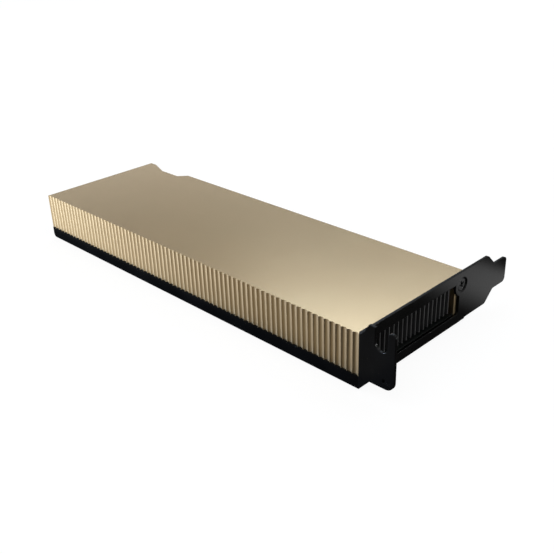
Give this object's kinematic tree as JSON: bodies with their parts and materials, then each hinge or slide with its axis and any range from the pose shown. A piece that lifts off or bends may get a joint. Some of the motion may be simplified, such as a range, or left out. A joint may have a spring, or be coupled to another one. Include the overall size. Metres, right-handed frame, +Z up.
{
  "type": "passive accelerator card",
  "caption": "Low-profile single-slot expansion card with a fluted gold channel cover over a finned heatsink, a black backplate and a black vented slot bracket.",
  "frame": {"origin": "below the middle of the card's outline, on the backplate's rest face", "axes": "+X along the card towards the slot bracket and its tab, +Y from the tab's side to the edge connector and the bracket's tongue, +Z up from the backplate to the cover"},
  "size_m": [0.1798, 0.0788, 0.0235],
  "materials": {
    "champagne_aluminium": "bead-blasted, champagne anodised",
    "black_coated_aluminium": "satin black",
    "black_coated_steel": "satin black",
    "black_oxide_steel": "black oxide",
    "black_anodised_aluminium": "black anodised",
    "black_solder_mask": "semi-gloss solder mask over fibreglass",
    "plated_gold": "hard gold plating",
    "package_laminate": "green laminate",
    "polished_silicon": "polished silicon",
    "mould_compound": "black mould compound",
    "thermal_pad": "soft silicone pad",
    "ferrite": "moulded ferrite",
    "capacitor_case": "moulded polymer case",
    "ceramic": "tan ceramic",
    "crystal_can": "plated can",
    "fuse_body": "white ceramic body"
  },
  "bodies": {
    "root": {"cover": "champagne_aluminium", "backplate": "black_coated_aluminium", "bracket": "black_coated_steel", "bracket_screw": "black_oxide_steel", "bracket_flat_screw": "black_oxide_steel", "cover_screws": "black_oxide_steel", "heatsink_screws": "black_oxide_steel", "heatsink_base": "black_anodised_aluminium", "heatsink_fins": "black_anodised_aluminium", "main_board": "black_solder_mask", "edge_contacts": "plated_gold", "gpu_substrate": "package_laminate", "gpu_die": "polished_silicon", "memory_chips": "mould_compound", "power_stages": "mould_compound", "regulator_controller": "mould_compound", "flash_chip": "mould_compound", "service_controller": "mould_compound", "back_memory_chips": "mould_compound", "memory_pads": "thermal_pad", "inductor_pad": "thermal_pad", "back_pad": "thermal_pad", "back_memory_pads": "thermal_pad", "inductors": "ferrite", "bulk_capacitors": "capacitor_case", "package_capacitors": "ceramic", "coupling_capacitors": "ceramic", "back_capacitors": "ceramic", "clock_crystal": "crystal_can", "input_fuse": "fuse_body"}
  },
  "joints": []
}
